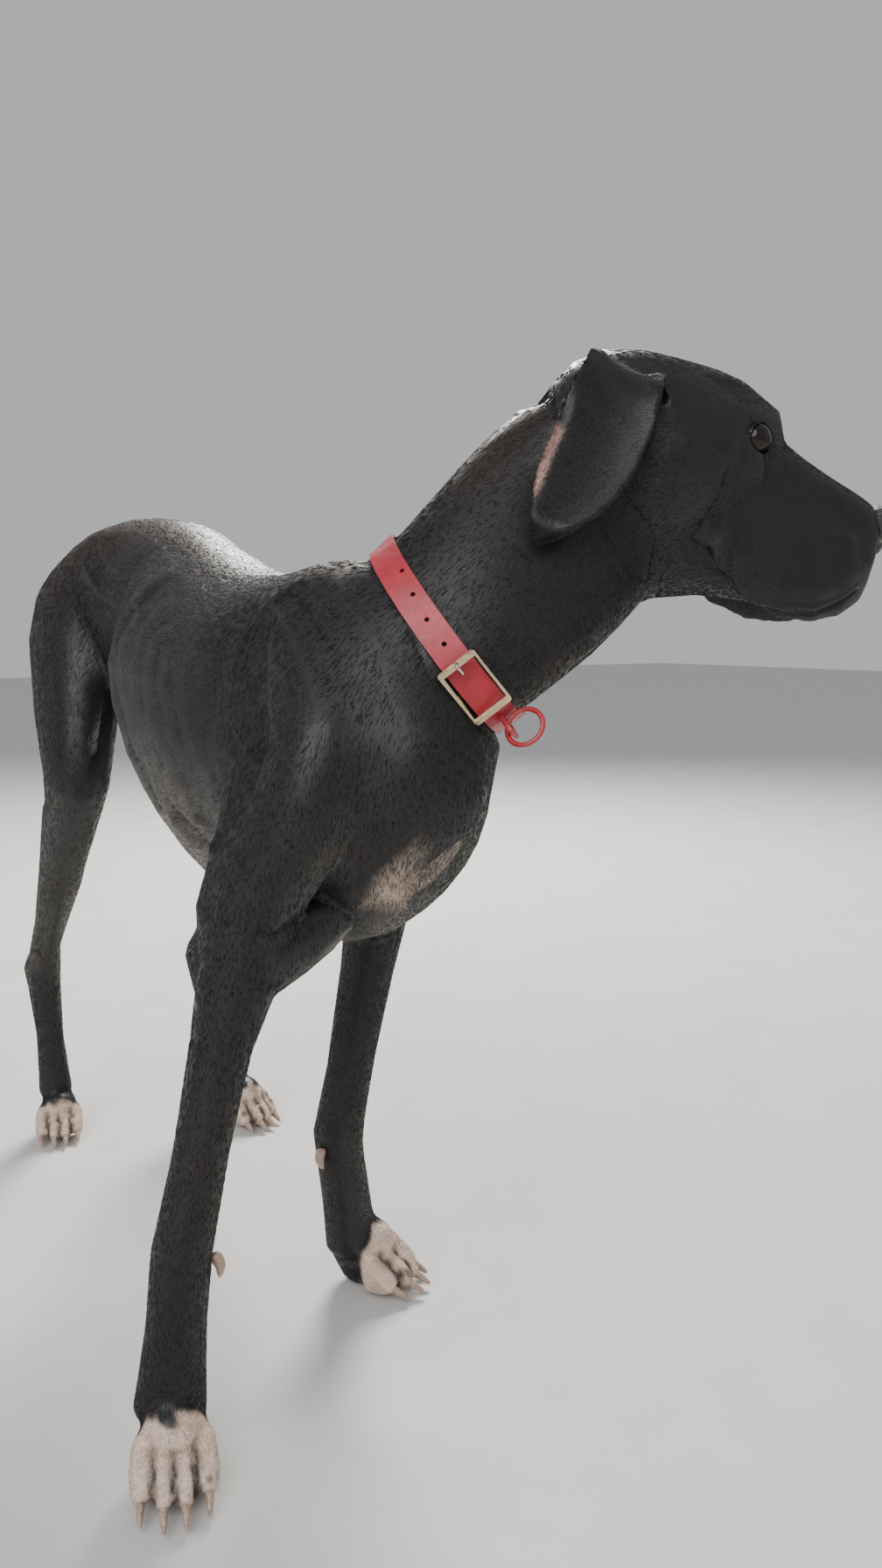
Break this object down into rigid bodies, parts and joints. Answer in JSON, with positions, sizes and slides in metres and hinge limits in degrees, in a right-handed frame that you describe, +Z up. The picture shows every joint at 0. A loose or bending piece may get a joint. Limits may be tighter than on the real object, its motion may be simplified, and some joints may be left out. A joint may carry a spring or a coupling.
{
  "type": "great dane",
  "caption": "Life-size standing great dane, lean and black-coated, head turned to its left, with hanging ears, pale toes and a buckled collar.",
  "frame": {"origin": "middle of the whole model's bounding box seen from above, on the floor under the paws", "axes": "+X is the way the trunk faces, +Y is the animal's left, +Z is up"},
  "size_m": [0.9738, 0.6974, 0.9183],
  "materials": {
    "coat": "short, flat, glossy brownish-black fur",
    "white_toes": "short white fur on the toes with pink and grey freckles, black above",
    "nose_leather": "moist, pebbled black nose skin",
    "eye": "wet, clear cornea over a dark brown iris",
    "claw": "pale horn with a duller tip",
    "collar_strap": "red coated webbing, smooth with a dull shine",
    "buckle_metal": "polished pale brass",
    "prong_metal": "bright nickel",
    "ring_coating": "red coated metal ring"
  },
  "bodies": {
    "root": {"paw_fore_right": "white_toes", "claw_fore_right_1": "claw", "claw_fore_right_2": "claw", "claw_fore_right_3": "claw", "claw_fore_right_4": "claw", "paw_hind_right": "white_toes", "claw_hind_right_1": "claw", "claw_hind_right_2": "claw", "claw_hind_right_3": "claw", "claw_hind_right_4": "claw", "foreleg_right": "coat", "dewclaw_right": "claw", "hindleg_right": "coat", "thigh_right": "coat", "paw_fore_left": "white_toes", "claw_fore_left_1": "claw", "claw_fore_left_2": "claw", "claw_fore_left_3": "claw", "claw_fore_left_4": "claw", "paw_hind_left": "white_toes", "claw_hind_left_1": "claw", "claw_hind_left_2": "claw", "claw_hind_left_3": "claw", "claw_hind_left_4": "claw", "foreleg_left": "coat", "dewclaw_left": "claw", "hindleg_left": "coat", "thigh_left": "coat", "head": "coat", "neck": "coat", "torso": "coat", "nose": "nose_leather", "tail": "coat", "ear_right": "coat", "eye_right": "eye", "ear_left": "coat", "eye_left": "eye", "collar_strap": "collar_strap", "collar_buckle": "buckle_metal", "collar_prong": "prong_metal", "collar_ring": "ring_coating", "collar_keeper": "collar_strap"}
  },
  "joints": []
}
